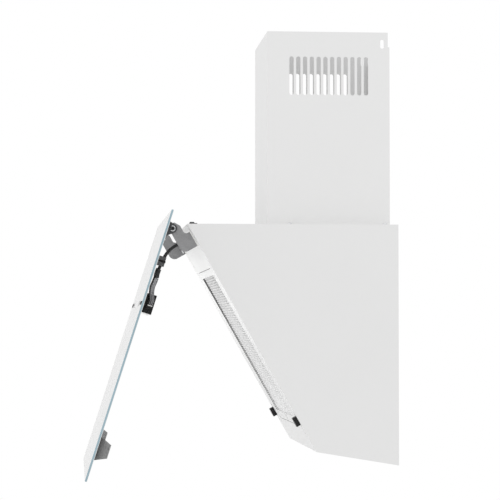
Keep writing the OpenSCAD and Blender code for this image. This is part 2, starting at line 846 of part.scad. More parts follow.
// The leaf bonded to the glass, which turns on the hinge screw
module hinge_leaf() {
    up = 11;
    down = 17;
    back = pivot_drop - plate_t;
    on_glass() {
        across(leaf_x, leaf_x + plate_t) difference() {
            union() {
                circle(leaf_r);
                polygon([[up, pivot_drop], [-down, pivot_drop], [-down, back],
                    touch_point([-down, back], leaf_r, 1), [0, 0], touch_point([up, back], leaf_r, -1),
                    [up, back]]);
            }
            circle(pivot_r + run_gap);
        }
        block([leaf_x + plate_t, -down, back], [leaf_x + plate_t + 15, up, pivot_drop]);
    }
}
module hinge_leaf_right() {
    color(dark_steel) hinge_leaf();
}
module hinge_leaf_left() {
    color(dark_steel) mirror([1, 0, 0]) hinge_leaf();
}
// The plate bonded to the glass's foot that meets the magnetic catch
module strike_plate() {
    mid = -catch_s - pivot_up - 3.5;
    face = pivot_drop - strike_reach;
    face_half = 12.2;
    base_half = 22.3;
    on_glass() {
        across(catch_x - 1, catch_x + 1) polygon([
            [mid - base_half, pivot_drop], [mid - face_half, face],
            [mid + face_half, face], [mid + base_half, pivot_drop]
        ]);
        for (x = [catch_x - 8, catch_x + 1])
            block([x, mid - face_half, face], [x + 7, mid + face_half, face + 1.5]);
        block([catch_x + 1, mid - base_half + 1.5, pivot_drop - 2],
            [catch_x + 14, mid + base_half - 1.5, pivot_drop]);
    }
}
module strike_plate_right() {
    color("#7E8083") strike_plate();
}
module strike_plate_left() {
    color("#7E8083") mirror([1, 0, 0]) strike_plate();
}

strip_t = 2;
strip_l = 16;
strip_down = control_down + (control_l - strip_l) / 2;
module touch_strip() {
    color("#3A3F3C") on_glass() block([-strip_half, glass_up - strip_down - strip_l, pivot_drop - strip_t],
        [strip_half, glass_up - strip_down, pivot_drop]);
}
control_wall = 2;
module control_space(inset_x, z0, z1) {
    block([-control_half + inset_x, glass_up - control_down - control_l + inset_x, z0],
        [control_half - inset_x, glass_up - control_down - inset_x, z1]);
}
module control_box() {
    color(black) on_glass() difference() {
        control_space(0, pivot_drop - control_t + control_wall, pivot_drop);
        control_space(control_wall, pivot_drop - control_t, pivot_drop - 5);
        block([-strip_half, glass_up - strip_down - strip_l - 0.2, pivot_drop - strip_t - 0.2],
            [strip_half, glass_up - strip_down + 0.2, pivot_drop + 1]);
    }
}
module control_box_lid() {
    color("#262626") on_glass()
        control_space(0, pivot_drop - control_t, pivot_drop - control_t + control_wall);
}
module control_board() {
    color("#2E5E3A") on_glass()
        control_space(control_wall, pivot_drop - 14, pivot_drop - 12.4);
}
module control_connector() {
    top = glass_up - connector_down;
    color(black) on_glass() block([control_half, top - 8, pivot_drop - 21.4],
        [cable_x - 0.2, top, pivot_drop - 10.6]);
}
// A bonded saddle that holds the cable against the glass
module cable_clip() {
    mid = glass_up - clip_down;
    half = cable_r + 3;
    clip_half = 9.8;
    clip_depth = clip_b + cable_r + 2;
    color("#3B3B3B") on_glass() difference() {
        union() {
            block([cable_x - half - 3, mid - clip_half, pivot_drop - 2.5],
                [cable_x + half + 3, mid + clip_half, pivot_drop]);
            block([cable_x - half, mid - clip_half + 1, pivot_drop - clip_depth],
                [cable_x + half, mid + clip_half - 1, pivot_drop - 2.5]);
        }
        translate([cable_x, mid, pivot_drop - clip_b]) rotate([-90 - atan(clip_slope), 0, 0])
            cylinder(h = 3 * clip_half, r = cable_r + 0.5, center = true);
    }
}
module control_cable() {
    color("#101010") tube(smooth(cable_route, 2), cable_r, 10);
}
module cable_boot() {
    color("#161616") tube(smooth(boot_route, 2), boot_r, 12);
}
module control_wires() {
    color("#A0A0A0") for (k = [0 : len(wire_offsets) - 1]) tube(smooth(wire_route(k), 3), wire_r, 8);
}

side_panel_right();
side_panel_left();
top_panel();
back_panel();
bottom_panel();
front_panel();
chimney_cover();
chimney_rails();
chimney_screws();
duct_collar();
collar_flange();
collar_screws();
damper_pins();
damper_flap_front();
damper_flap_rear();
blower_housing();
inlet_ring();
motor();
motor_bracket();
motor_screws();
motor_shaft();
impeller();
electronics_box();
electronics_lid();
capacitor();
mains_gland();
led_driver();
led_bezels();
led_lenses();
filter_frame();
filter_mesh();
filter_latch();
latch_springs();
hinge_spacers();
hinge_bracket_right();
hinge_bracket_left();
bracket_screws();
hinge_screws();
hinge_nuts();
hinge_washers();
top_screws();
magnetic_catch_right();
magnetic_catch_left();
cable_grommet();
glass_panel();
hinge_leaf_right();
hinge_leaf_left();
strike_plate_right();
strike_plate_left();
touch_strip();
control_box();
control_box_lid();
control_board();
control_connector();
cable_clip();
control_cable();
cable_boot();
control_wires();
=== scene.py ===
import json
import math

import bmesh
import bpy
from mathutils import Matrix, Vector


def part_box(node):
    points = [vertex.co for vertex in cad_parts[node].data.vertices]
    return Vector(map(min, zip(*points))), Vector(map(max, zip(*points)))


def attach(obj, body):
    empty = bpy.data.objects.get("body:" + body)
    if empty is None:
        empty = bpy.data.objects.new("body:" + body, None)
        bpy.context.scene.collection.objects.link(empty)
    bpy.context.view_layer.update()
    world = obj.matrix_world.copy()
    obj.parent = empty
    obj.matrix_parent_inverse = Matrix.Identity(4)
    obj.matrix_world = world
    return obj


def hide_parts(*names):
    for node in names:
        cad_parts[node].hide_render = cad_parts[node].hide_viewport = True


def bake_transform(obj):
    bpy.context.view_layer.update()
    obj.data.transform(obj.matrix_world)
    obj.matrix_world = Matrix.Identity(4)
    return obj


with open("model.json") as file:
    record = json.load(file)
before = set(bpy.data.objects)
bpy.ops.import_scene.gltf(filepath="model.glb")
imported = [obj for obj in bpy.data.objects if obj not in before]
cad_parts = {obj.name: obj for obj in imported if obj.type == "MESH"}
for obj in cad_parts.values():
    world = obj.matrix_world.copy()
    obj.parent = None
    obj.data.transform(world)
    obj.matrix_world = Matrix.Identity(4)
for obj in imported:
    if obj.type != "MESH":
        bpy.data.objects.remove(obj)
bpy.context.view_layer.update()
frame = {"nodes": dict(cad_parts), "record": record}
NODES = frame["nodes"]
MM = 0.001


# ---------------------------------------------------------------- places on the hood
def widest_normal(node, towards):
    """The normal of the node's widest flat side among those that face roughly towards a direction."""
    areas = {}
    for face in NODES[node].data.polygons:
        key = tuple(round(c, 3) for c in face.normal)
        areas[key] = areas.get(key, 0) + face.area
    facing = [k for k in areas if Vector(k).dot(towards) > 0.5]
    return Vector(max(facing, key=areas.get)).normalized()


class Place:
    """A flat side of the hood. Points are given in millimetres: across X, down the side, and off it."""

    def __init__(self, node, towards, back=False):
        self.off = widest_normal(node, towards)
        self.across = Vector((1, 0, 0))
        self.down = self.across.cross(self.off).normalized()
        if self.down.z > 0:
            self.down.negate()
        corners = [v.co for v in NODES[node].data.vertices]
        level = [c.dot(self.off) for c in corners]
        top = min(c.dot(self.down) for c in corners)
        self.origin = self.off * (min(level) if back else max(level)) + self.down * top

    def at(self, x, down, off):
        return self.origin + (self.across * x + self.down * down + self.off * off) * MM

    def matrix(self):
        """Turns (x, down, off) in millimetres into a point in the row frame."""
        columns = [axis * MM for axis in (self.across, self.down, self.off)]
        turn = Matrix([[c[i] for c in columns] for i in range(3)]).to_4x4()
        return Matrix.Translation(self.origin) @ turn


FRONT = Place("front_panel", Vector((0, -1, -0.5)))
GLASS = Place("glass_panel", Vector((0, -1, 0.3)), back=True)


# ---------------------------------------------------------------- materials
def new_material(name, colour, roughness, metallic=0.0):
    material = bpy.data.materials.new(name)
    material.use_nodes = True
    shader = material.node_tree.nodes["Principled BSDF"]
    shader.inputs["Base Color"].default_value = (*colour, 1)
    shader.inputs["Roughness"].default_value = roughness
    shader.inputs["Metallic"].default_value = metallic
    return material, shader


def add_node(material, kind, **inputs):
    """A shader node. A keyword sets the input of that name, with underscores for spaces."""
    node = material.node_tree.nodes.new("ShaderNode" + kind)
    for name, value in inputs.items():
        node.inputs[name.replace("_", " ")].default_value = value
    return node


def link(material, output, socket):
    material.node_tree.links.new(output, socket)


def object_coordinates(material, stretch=(1, 1, 1)):
    coordinates = add_node(material, "TexCoord")
    mapping = add_node(material, "Mapping", Scale=stretch)
    link(material, coordinates.outputs["Object"], mapping.inputs["Vector"])
    return mapping.outputs["Vector"]


def noise(material, scale, detail=3.0, stretch=(1, 1, 1), roughness=0.55):
    texture = add_node(material, "TexNoise", Scale=scale, Detail=detail, Roughness=roughness)
    link(material, object_coordinates(material, stretch), texture.inputs["Vector"])
    return texture.outputs["Fac"]


def ramp(material, factor, stops):
    """A colour ramp through (position, grey level or colour) stops."""
    node = add_node(material, "ValToRGB")
    link(material, factor, node.inputs["Fac"])
    elements = node.color_ramp.elements
    while len(elements) < len(stops):
        elements.new(0.5)
    for element, (position, colour) in zip(elements, stops):
        element.position = position
        colour = (colour,) * 3 if isinstance(colour, float) else colour
        element.color = (*colour, 1)
    return node.outputs["Color"]


def scaled(colour, factor):
    return tuple(min(1.0, c * factor) for c in colour)


LOW_STOP, HIGH_STOP = 0.3, 0.7


def vary_colour(material, shader, factor, colour, low, high):
    stops = [(LOW_STOP, scaled(colour, low)), (HIGH_STOP, scaled(colour, high))]
    link(material, ramp(material, factor, stops), shader.inputs["Base Color"])


def vary_roughness(material, shader, factor, low, high):
    stops = [(LOW_STOP, low), (HIGH_STOP, high)]
    link(material, ramp(material, factor, stops), shader.inputs["Roughness"])


def bump(material, shader, height, distance, strength=1.0):
    node = add_node(material, "Bump", Distance=distance, Strength=strength)
    link(material, height, node.inputs["Height"])
    link(material, node.outputs["Normal"], shader.inputs["Normal"])


def powder_coat(name, tone, roughness=0.5):
    """Grey or white powder coat: faint clouding, a fine orange peel and an even satin gloss."""
    colour = (tone, tone, tone * 0.998)
    material, shader = new_material(name, colour, roughness)
    vary_colour(material, shader, noise(material, 7), colour, 0.988, 1.0)
    vary_roughness(material, shader, noise(material, 60), roughness - 0.05, roughness + 0.05)
    bump(material, shader, noise(material, 750, 2.0), 0.00003, 0.35)
    shader.inputs["Specular IOR Level"].default_value = 0.12
    return material


def brushed_metal(name, colour, roughness, stretch=(1, 1, 12), metallic=0.85, grain=500):
    """Metal with a fine grain drawn along one axis and a little clouding."""
    material, shader = new_material(name, colour, roughness, metallic)
    drawn = noise(material, grain, 4.0, stretch)
    vary_colour(material, shader, drawn, colour, 0.86, 1.12)
    vary_roughness(material, shader, noise(material, 90), roughness - 0.08, roughness + 0.1)
    bump(material, shader, drawn, 0.00002, 0.4)
    return material


def zinc(name, colour):
    """Galvanised sheet with its crystal spangle."""
    material, shader = new_material(name, colour, 0.4, 0.8)
    cells = add_node(material, "TexVoronoi", Scale=170.0)
    link(material, object_coordinates(material), cells.inputs["Vector"])
    vary_colour(material, shader, cells.outputs["Color"], colour, 0.82, 1.15)
    vary_roughness(material, shader, noise(material, 140), 0.32, 0.5)
    bump(material, shader, noise(material, 600, 2.0), 0.00002, 0.3)
    return material


SLICK, SMOOTH, GRAINED, COARSE = 0.00001, 0.00002, 0.00004, 0.00006


def moulded(name, colour, roughness, texture=GRAINED, gloss=0.0, specular=0.3):
    """Moulded plastic with a fine spark-eroded texture, whose depth in metres is given."""
    material, shader = new_material(name, colour, roughness)
    shader.inputs["Specular IOR Level"].default_value = specular
    vary_colour(material, shader, noise(material, 45), colour, 0.88, 1.08)
    vary_roughness(material, shader, noise(material, 220), roughness - 0.05, roughness + 0.07)
    bump(material, shader, noise(material, 1600, 2.0), texture, 0.5)
    shader.inputs["Coat Weight"].default_value = gloss
    return material


def braid(name, colour):
    """The woven sleeve on the control cable."""
    material, shader = new_material(name, colour, 0.62)
    vary_colour(material, shader, noise(material, 900, 2.0), colour, 0.6, 1.9)
    shader.inputs["Sheen Weight"].default_value = 0.25
    bump(material, shader, noise(material, 2200, 2.0), 0.00008, 0.8)
    return material


def back_painted_glass(name, tone):
    """Clear glass painted white behind: a deep even white under a thin polished coat."""
    colour = (tone, tone, tone)
    material, shader = new_material(name, colour, 0.3)
    vary_colour(material, shader, noise(material, 6, 2.0), colour, 0.985, 1.0)
    vary_roughness(material, shader, noise(material, 30), 0.28, 0.36)
    shader.inputs["Specular IOR Level"].default_value = 0.05
    shader.inputs["Coat Weight"].default_value = 0.2
    shader.inputs["Coat Roughness"].default_value = 0.03
    return material


def glass_edge(name, colour):
    """The green-blue rim of float glass, with faint grinding marks."""
    material, shader = new_material(name, colour, 0.18)
    vary_colour(material, shader, noise(material, 120, 3.0, (1, 0.1, 0.1)), colour, 0.86, 1.1)
    vary_roughness(material, shader, noise(material, 400), 0.12, 0.26)
    bump(material, shader, noise(material, 900, 2.0), 0.00002, 0.3)
    shader.inputs["Coat Weight"].default_value = 0.6
    shader.inputs["Coat Roughness"].default_value = 0.05
    return material


def graded(name, axis, start, end, tones, metallic, roughness):
    """A dull metal whose grey runs from one tone to another between two levels along an axis."""
    material, shader = new_material(name, (tones[0],) * 3, roughness, metallic)
    level = add_node(material, "VectorMath")
    level.operation = "DOT_PRODUCT"
    level.inputs[1].default_value = axis
    link(material, object_coordinates(material), level.inputs[0])
    place = add_node(material, "MapRange")
    place.inputs["From Min"].default_value = start
    place.inputs["From Max"].default_value = end
    link(material, level.outputs["Value"], place.inputs["Value"])
    tone = ramp(material, place.outputs["Result"], [(0.0, tones[0]), (1.0, tones[1])])
    link(material, tone, shader.inputs["Base Color"])
    vary_roughness(material, shader, noise(material, 300), roughness - 0.08, roughness + 0.1)
    bump(material, shader, noise(material, 1200, 2.0), 0.00002, 0.4)
    return material


def frosted(name, colour):
    """The frosted lens of a lamp, with a fine etched grain."""
    material, shader = new_material(name, colour, 0.35)
    vary_colour(material, shader, noise(material, 30), colour, 0.97, 1.0)
    vary_roughness(material, shader, noise(material, 300), 0.28, 0.42)
    bump(material, shader, noise(material, 900, 2.0), 0.00005, 0.4)
    shader.inputs["Coat Weight"].default_value = 0.4
    return material


MESH_FOOT, MESH_TOP = (corner.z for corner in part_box("filter_mesh"))
UP = (0, 0, 1)
GLASS_OFF = tuple(GLASS.off)
GLASS_BACK = GLASS.origin.dot(GLASS.off)
# Painted shade: the strike plates darken from 22 mm behind the glass to near-black at its back.
STRIKE_END = GLASS_BACK - 0.022
MAT = {
    # Painted shade: the side panels get a darker copy of the white paint, standing for the shade on the
    # sides.
    "side_paint": powder_coat("side_paint", 0.80),
    # Painted light: the chimney gets a slightly lighter copy of the side paint, standing for the extra
    # light on its sides.
    "chimney_paint": powder_coat("chimney_paint", 0.82),
    # Painted shade: a darker copy of the chimney paint for its inside faces.
    "chimney_inside_painted_shade": powder_coat("chimney_inside_painted_shade", 0.66),
    "white_paint": powder_coat("white_paint", 0.88),
    "back_sheet": powder_coat("back_sheet", 0.74),
    "zinc_steel": zinc("zinc_steel", (0.40, 0.41, 0.42)),
    "chrome": brushed_metal("chrome", (0.72, 0.73, 0.74), 0.16, (1, 1, 1), metallic=1.0, grain=260),
    "dark_steel": brushed_metal("dark_steel", (0.075, 0.077, 0.08), 0.42, (1, 6, 1), metallic=0.5),
    "hinge_steel": brushed_metal("hinge_steel", (0.30, 0.30, 0.305), 0.46, (1, 1, 6), metallic=0.7),
    "grey_plastic": moulded("grey_plastic", (0.60, 0.60, 0.58), 0.5),
    "white_plastic": moulded("white_plastic", (0.82, 0.82, 0.80), 0.35, SMOOTH, gloss=0.3),
    "black_plastic": moulded("black_plastic", (0.008, 0.008, 0.009), 0.45),
    "clip_plastic": moulded("clip_plastic", (0.11, 0.11, 0.112), 0.45),
    "rubber": moulded("rubber", (0.008, 0.008, 0.008), 0.6),
    "wire": moulded("wire", (0.24, 0.24, 0.25), 0.3, SLICK, gloss=0.4),
    "motor_grey": powder_coat("motor_grey", 0.16),
    "diffuser": frosted("diffuser", (0.86, 0.86, 0.82)),
    # Painted shade: the filter mesh is painted darker towards its top, where the open glass shades it.
    "mesh_aluminium": graded("mesh_aluminium", UP, MESH_FOOT, MESH_TOP, (0.98, 0.68), 0.0, 0.5),
    # Painted shade: a darker copy of the mesh grey for the deep folds, also darker towards the top.
    "mesh_fold_painted_shade": graded("mesh_fold_painted_shade", UP, MESH_FOOT, MESH_TOP, (0.93, 0.50), 0.0, 0.55),
    # Painted shade: the side rails and their slots darken towards the top, where the open glass shades
    # them.
    "rail_shade": graded("rail_shade", UP, MESH_FOOT, MESH_TOP, (0.84, 0.14), 0.1, 0.5),
    "slot_shade": graded("slot_shade", UP, MESH_FOOT, MESH_TOP, (0.42, 0.01), 0.0, 0.6),
    # Painted shade: a ramp that darkens the strike plates towards the back of the glass.
    "strike_zinc_painted_shade": graded("strike_zinc_painted_shade", GLASS_OFF, STRIKE_END, GLASS_BACK, (0.36, 0.05), 0.5, 0.4),
    "white_glass": back_painted_glass("white_glass", 0.755),
    "sensor_strip": moulded("sensor_strip", (0.035, 0.04, 0.037), 0.3, SLICK, gloss=0.5),
    "circuit_board": moulded("circuit_board", (0.02, 0.10, 0.04), 0.4, SMOOTH, gloss=0.5),
    "glass_rim": glass_edge("glass_rim", (0.30, 0.43, 0.49)),
    "glass_paint": powder_coat("glass_paint", 0.86),
    "mark_ink": moulded("mark_ink", (0.02, 0.02, 0.02), 0.7, SLICK, specular=0.02),
    "braid": braid("braid", (0.010, 0.010, 0.010)),
    "tape": moulded("tape", (0.014, 0.014, 0.014), 0.38, COARSE, gloss=0.2),
    "black_wire": moulded("black_wire", (0.012, 0.012, 0.012), 0.3, SLICK, gloss=0.4),
    # Painted shade: near-black for the inside of the screw sockets.
    "socket_painted_shade": moulded("socket_painted_shade", (0.02, 0.02, 0.02), 0.6),
}


# ---------------------------------------------------------------- mesh tools
def mesh_object(name, vertices, faces, material, transform=None, smooth=False):
    mesh = bpy.data.meshes.new(name)
    mesh.from_pydata([tuple(v) for v in vertices], [], faces)
    if transform is not None:
        mesh.transform(transform)
    tidy = bmesh.new()
    tidy.from_mesh(mesh)
    bmesh.ops.recalc_face_normals(tidy, faces=tidy.faces)
    tidy.to_mesh(mesh)
    tidy.free()
    mesh.materials.append(MAT[material])
    for face in mesh.polygons:
        face.use_smooth = smooth
    piece = bpy.data.objects.new(name, mesh)
    bpy.context.scene.collection.objects.link(piece)
    return piece


def soften(piece, width, segments=2, angle=35):
    """Rounds the piece's sharp edges by width, in millimetres."""
    bevel = piece.modifiers.new("soften", "BEVEL")
    bevel.width = width * MM
    bevel.segments = segments
    bevel.limit_method = "ANGLE"
    bevel.angle_limit = math.radians(angle)


def shade_smooth(piece, angle=35):
    """Smooths the shading of round surfaces and keeps the real edges."""
    mesh = piece.data
    for face in mesh.polygons:
        face.use_smooth = True
    mesh.set_sharp_from_angle(angle=math.radians(angle))


class Solid:
    """Collects simple shapes into one mesh, in the place's millimetres."""

    def __init__(self):
        self.vertices = []
        self.faces = []

    def add(self, vertices, faces):
        start = len(self.vertices)
        self.vertices += vertices
        self.faces += [tuple(start + i for i in face) for face in faces]

    def prism(self, outline, low, high):
        """An outline of (x, y) points between two levels."""
        count = len(outline)
        ring = [(i, (i + 1) % count) for i in range(count)]
        faces = [tuple(range(count - 1, -1, -1)), tuple(range(count, 2 * count))]
        faces += [(a, b, b + count, a + count) for a, b in ring]
        self.add([(x, y, level) for level in (low, high) for x, y in outline], faces)

    def box(self, corner, opposite):
        """A block between two opposite corners, in either order."""
        (left, right), (near, far), (low, high) = (sorted(pair) for pair in zip(corner, opposite))
        self.prism([(left, near), (right, near), (right, far), (left, far)], low, high)

    def disc(self, x, y, radius, low, high, sides=24):
        self.prism(circle(x, y, radius, sides), low, high)

    def ring(self, x, y, outer, inner, low, high, sides=40):
        loops = []
        for radius, level in ((outer, low), (outer, high), (inner, high), (inner, low)):
            loops += [(px, py, level) for px, py in circle(x, y, radius, sides)]
        faces = []
        for k in range(4):
            for i in range(sides):
                j = (i + 1) % sides
                a, b = k * sides, (k + 1) % 4 * sides
                faces.append((a + i, a + j, b + j, b + i))
        self.add(loops, faces)

    def piece(self, name, material, place, smooth=False):
        return mesh_object(name, self.vertices, self.faces, material, place.matrix(), smooth)


def circle(x, y, radius, sides):
    turns = [2 * math.pi * i / sides for i in range(sides)]
    return [(x + radius * math.cos(turn), y + radius * math.sin(turn)) for turn in turns]


def rounded_rectangle(left, right, top, foot, radius, steps=8):
    """Corner arcs in order round the rectangle, as (x, y) points."""
    points = []
    quarter = math.pi / 2
    corners = [(right - radius, foot - radius), (left + radius, foot - radius),
               (left + radius, top + radius), (right - radius, top + radius)]
    for k, (x, y) in enumerate(corners):
        for i in range(steps + 1):
            angle = quarter * (k + i / steps)
            points.append((x + radius * math.cos(angle), y + radius * math.sin(angle)))
    return points


def smooth_route(points, steps):
    """A Catmull-Rom curve through the points."""
    out = []
    for i in range(len(points) - 1):
        a, b = points[max(i - 1, 0)], points[i]
        c, d = points[i + 1], points[min(i + 2, len(points) - 1)]
        for j in range(steps):
            t = j / steps
            out.append(0.5 * (2 * b + (c - a) * t + (2 * a - 5 * b + 4 * c - d) * t * t
                              + (3 * b - a - 3 * c + d) * t ** 3))
    return out + [points[-1]]


def tube(name, route, radius, sides, material):
    """A tube along a route. radius is in millimetres, or a function of (step, turn) that gives it."""
    vertices, faces = [], []
    side = Vector((1, 0.3, 0.2))
    for i, point in enumerate(route):
        ahead = route[min(i + 1, len(route) - 1)] - route[max(i - 1, 0)]
        ahead.normalize()
        u = ahead.cross(side).normalized()
        v = ahead.cross(u)
        for k in range(sides):
            turn = 2 * math.pi * k / sides
            reach = (radius(i, turn) if callable(radius) else radius) * MM
            vertices.append(point + reach * (math.cos(turn) * u + math.sin(turn) * v))
    for i in range(len(route) - 1):
        for k in range(sides):
            a, b = i * sides + k, i * sides + (k + 1) % sides
            faces.append((a, b, b + sides, a + sides))
    faces.append(tuple(range(sides)))
    faces.append(tuple(range(len(vertices) - 1, len(vertices) - sides - 1, -1)))
    piece = mesh_object(name, vertices, faces, material, smooth=True)
    piece.data.set_sharp_from_angle(angle=math.radians(60))
    return piece


# ---------------------------------------------------------------- CAD nodes
SLOTS = {part["node"]: part["material_slot"] for part in frame["record"]["subparts"]}
SOFT_EDGES = {
    "side_panel_right": 1.2, "side_panel_left": 1.2, "chimney_cover": 0.45, "filter_frame": 1.0,
    "hinge_bracket_right": 0.35, "hinge_bracket_left": 0.35, "hinge_leaf_right": 0.35,
    "hinge_leaf_left": 0.35, "strike_plate_right": 0.35, "strike_plate_left": 0.35,
    "magnetic_catch_right": 0.8, "magnetic_catch_left": 0.8, "control_box": 0.9,
    "control_box_lid": 0.7, "control_connector": 0.5, "cable_clip": 0.7, "cable_grommet": 0.4,
    "hinge_spacers": 0.5, "filter_latch": 0.5, "duct_collar": 0.5, "electronics_box": 0.8,
    "electronics_lid": 0.6, "led_driver": 1.0, "mains_gland": 0.5, "led_bezels": 0.5,
    "top_screws": 0.3, "bracket_screws": 0.25, "hinge_screws": 0.3, "hinge_nuts": 0.3,
    "chimney_rails": 0.3, "motor": 1.5, "capacitor": 1.0, "touch_strip": 0.3,
}


def dress_cad_nodes():
    for name, node in NODES.items():
        node.data.materials.clear()
        node.data.materials.append(MAT[SLOTS[name]])
        shade_smooth(node)
        if name in SOFT_EDGES:
            soften(node, SOFT_EDGES[name])


def tint(name, material, chosen):
    """Gives the chosen faces of a CAD node a second material."""
    node = NODES[name]
    node.data.materials.append(MAT[material])
    for face in node.data.polygons:
        if chosen(face):
            face.material_index = len(node.data.materials) - 1


def tint_strike_plates():
    # The plates get painted shade that darkens towards the glass.
    for side in ("right", "left"):
        NODES["strike_plate_" + side].data.materials[0] = MAT["strike_zinc_painted_shade"]


def tint_hinge_screws():
    """Dark heads and ends, and the socket in each head painted near-black as painted shade."""
    axis = sum((Vector(corner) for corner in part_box("hinge_screws")), Vector()) / 2
    socket_r, head_x = 2.3 * MM, 201.5 * MM

    def in_socket(face):
        return (face.center - axis).yz.length < socket_r and abs(face.center.x) > head_x

    tint("hinge_screws", "dark_steel", lambda face: abs(face.normal.x) > 0.9)
    # Painted shade: the socket faces are painted near-black.
    tint("hinge_screws", "socket_painted_shade", in_socket)


def tint_chimney():
    """Painted shade: a darker paint on the inside of both sides and on the back of the front."""
    towards_axis, front_y = -0.1, -200 * MM

    def inside(face):
        on_side = face.normal.x * face.center.x < towards_axis
        return on_side or face.normal.y > 0.9 and face.center.y < front_y

    tint("chimney_cover", "chimney_inside_painted_shade", inside)


def tint_control_box():
    """White ends on the box and its lid, at their foot."""
    foot = max(v.co.dot(GLASS.down) for v in NODES["control_box"].data.vertices)
    for name in ("control_box", "control_box_lid"):
        tint(name, "white_plastic", lambda face: face.center.dot(GLASS.down) > foot - 0.1 * MM)


# ---------------------------------------------------------------- glass front
GLASS_HALF, GLASS_HIGH, GLASS_THICK, GLASS_CORNER = 299.0, 484.0, 4.0, 4.0
PAINT = 0.7
PAINT_EDGE = 0.3
RIM_BEVEL = 0.6
MARK_DOWN, MARK_HALF = 167.0, 3.4
KEY_START, KEY_STEP = 126, 24


def glass_outline(inset):
    return rounded_rectangle(inset - GLASS_HALF, GLASS_HALF - inset, inset, GLASS_HIGH - inset,
                             GLASS_CORNER - inset)


def glass_slab():
    """The glass itself: a rounded sheet with a polished bevel all round its front."""
    loops = [(0.0, PAINT), (0.0, GLASS_THICK - RIM_BEVEL), (RIM_BEVEL, GLASS_THICK)]
    vertices = [(x, y, level) for inset, level in loops for x, y in glass_outline(inset)]
    count = len(glass_outline(0.0))
    faces = [tuple(range(count - 1, -1, -1)), tuple(range(2 * count, 3 * count))]
    for ring in range(len(loops) - 1):
        for i in range(count):
            a, b = ring * count + i, ring * count + (i + 1) % count
            faces.append((a, b, b + count, a + count))
    slab = mesh_object("glass_slab", vertices, faces, "white_glass", GLASS.matrix())
    slab.data.materials.append(MAT["glass_rim"])
    for face in slab.data.polygons:
        if abs(face.normal.dot(GLASS.off)) < 0.95:
            face.material_index = 1
    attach(slab, "glass_front")
    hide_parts("glass_panel")


def glass_back_paint():
    coat = Solid()
    coat.prism(glass_outline(PAINT_EDGE), 0.0, PAINT)
    piece = coat.piece("glass_back_paint", "glass_paint", GLASS)
    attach(piece, "glass_front")


def touch_marks():
    """Plain marks printed on the glass: a display window and three touch keys on each side."""
    low, high = GLASS_THICK - 0.02, GLASS_THICK + 0.05
    top, foot = MARK_DOWN - MARK_HALF, MARK_DOWN + MARK_HALF
    marks = Solid()
    for side in (-1, 1):
        left, right = sorted((side * 200.0, side * 290.0))
        marks.prism(rounded_rectangle(left, right, top, foot, 1.5), low, high)
        for k in range(3):
            x = side * (KEY_START + KEY_STEP * k)
            marks.ring(x, MARK_DOWN, 5.2, 3.7, low, high)
            marks.disc(x, MARK_DOWN, 1.2 + 0.8 * k, low, high)
    piece = marks.piece("touch_marks", "mark_ink", GLASS)
    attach(piece, "glass_front")


# ---------------------------------------------------------------- filter
FILTER_HALF, FILTER_TOP, FILTER_FOOT = 160.0, 88.3, 406.9
OPENING_HALF, OPENING_TOP, OPENING_FOOT = 146.0, 101.1, 390.4
MESH_FACE = -2.0
ROW_PITCH, DIAMOND_STEP, SLOT_PITCH = 4.85, 5.0, 3.9
FOLD_STRIPS, SHADED_FOLD_STRIPS = 8, (0, 1, 6, 7)


def expanded_mesh():
    """The filter's front layer: flat strands that zigzag and meet to form rows of diamonds."""
    rows = round((OPENING_FOOT - OPENING_TOP) / ROW_PITCH)
    pitch = (OPENING_FOOT - OPENING_TOP) / rows
    steps = round(2 * OPENING_HALF / DIAMOND_STEP)
    step = 2 * OPENING_HALF / steps
    half, thick, swing = 0.85, 0.12, 0.3
    upper, lower = MESH_FACE - 0.05, MESH_FACE - 0.2
    strands = Solid()
    for row in range(rows):
        middle = OPENING_TOP + (row + 0.5) * pitch
        sections = []
        for i in range(steps + 1):
            x = -OPENING_HALF + i * step
            y = middle + swing * (1 if (i + row) % 2 else -1)
            sections += [(x, y - half, upper), (x, y + half, lower),
                         (x, y + half, lower - thick), (x, y - half, upper - thick)]
        faces = [(3, 2, 1, 0), tuple(4 * steps + k for k in range(4))]
        for i in range(4 * steps):
            beside = i + 1 if i % 4 < 3 else i - 3
            faces.append((i, beside, beside + 4, i + 4))
        strands.add(sections, faces)
    # The strands take the mesh grey painted darker towards the top as shade.
    piece = strands.piece("filter_strands", "mesh_aluminium", FRONT)
    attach(piece, "body")
    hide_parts("filter_mesh")


def mesh_backing():
    """The folded inner layers of the filter: one ribbed sheet behind the strands, with painted shade in
    its deep folds.
    """
    ribs = round((OPENING_FOOT - OPENING_TOP) / ROW_PITCH)
    strips = FOLD_STRIPS * ribs
    pitch = (OPENING_FOOT - OPENING_TOP) / strips
    behind, swing, thick = 0.34, 0.15, 0.5
    vertices, faces = [], []
    for i in range(strips + 1):
        y = OPENING_TOP + i * pitch
        level = MESH_FACE - behind - swing - swing * math.cos(2 * math.pi * i / FOLD_STRIPS)
        for x in (-OPENING_HALF, OPENING_HALF):
            vertices += [(x, y, level), (x, y, level - thick)]
    last = 4 * strips
    for a in range(0, last, 4):
        faces += [(a, a + 2, a + 6, a + 4), (a + 1, a + 5, a + 7, a + 3),
                  (a, a + 4, a + 5, a + 1), (a + 2, a + 3, a + 7, a + 6)]
    faces += [(0, 1, 3, 2), (last, last + 2, last + 3, last + 1)]
    sheet = Solid()
    sheet.add(vertices, faces)
    piece = sheet.piece("filter_backing", "mesh_aluminium", FRONT, smooth=True)
    piece.data.materials.append(MAT["mesh_fold_painted_shade"])
    for i, face in enumerate(piece.data.polygons):
        # Painted shade: the deep folds get the darker material.
        if i // 4 % FOLD_STRIPS in SHADED_FOLD_STRIPS:
            face.material_index = 1
    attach(piece, "body")


